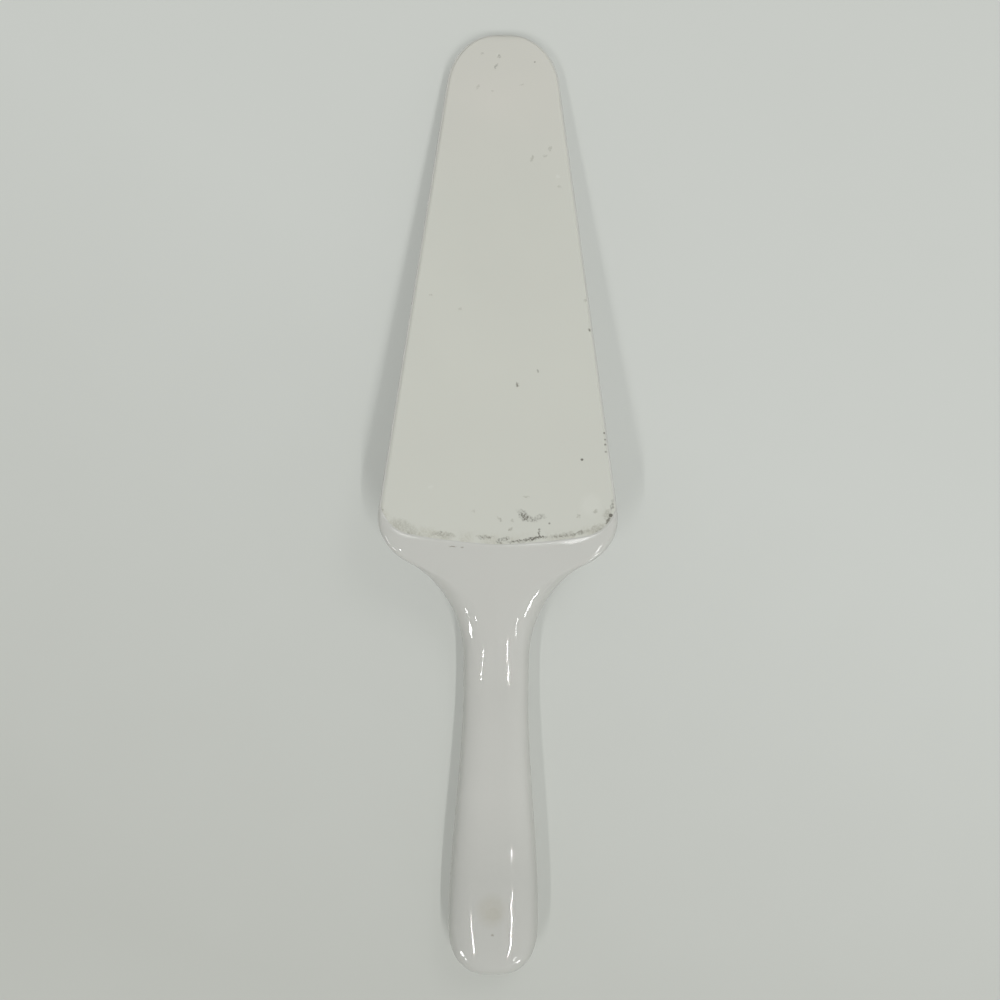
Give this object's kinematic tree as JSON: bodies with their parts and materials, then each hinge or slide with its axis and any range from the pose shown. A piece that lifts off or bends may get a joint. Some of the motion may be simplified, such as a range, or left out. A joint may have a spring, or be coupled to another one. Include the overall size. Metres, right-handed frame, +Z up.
{
  "type": "cake server",
  "caption": "Porcelain cake server lying face down: tapered blade with a round tip and bare flat underside, cranked neck and hollow oval handle, glazed all over but the underside.",
  "frame": {"origin": "middle of the footprint, on the surface that the server lies on", "axes": "+Y along the length towards the blade's tip, +X across the width, +Z up from the surface; the server lies face down, so its bare underside looks up"},
  "size_m": [0.0622, 0.254, 0.0266],
  "materials": {
    "bisque": "unglazed fired porcelain, matt, fine grained",
    "filler": "fired filling slip, matt, beige",
    "glaze": "clear gloss glaze over white porcelain"
  },
  "bodies": {
    "root": {"blade_body": "bisque", "neck_body": "bisque", "handle_body": "bisque", "vent_plug": "filler", "blade_glaze": "glaze", "neck_glaze": "glaze", "handle_glaze": "glaze"}
  },
  "joints": []
}
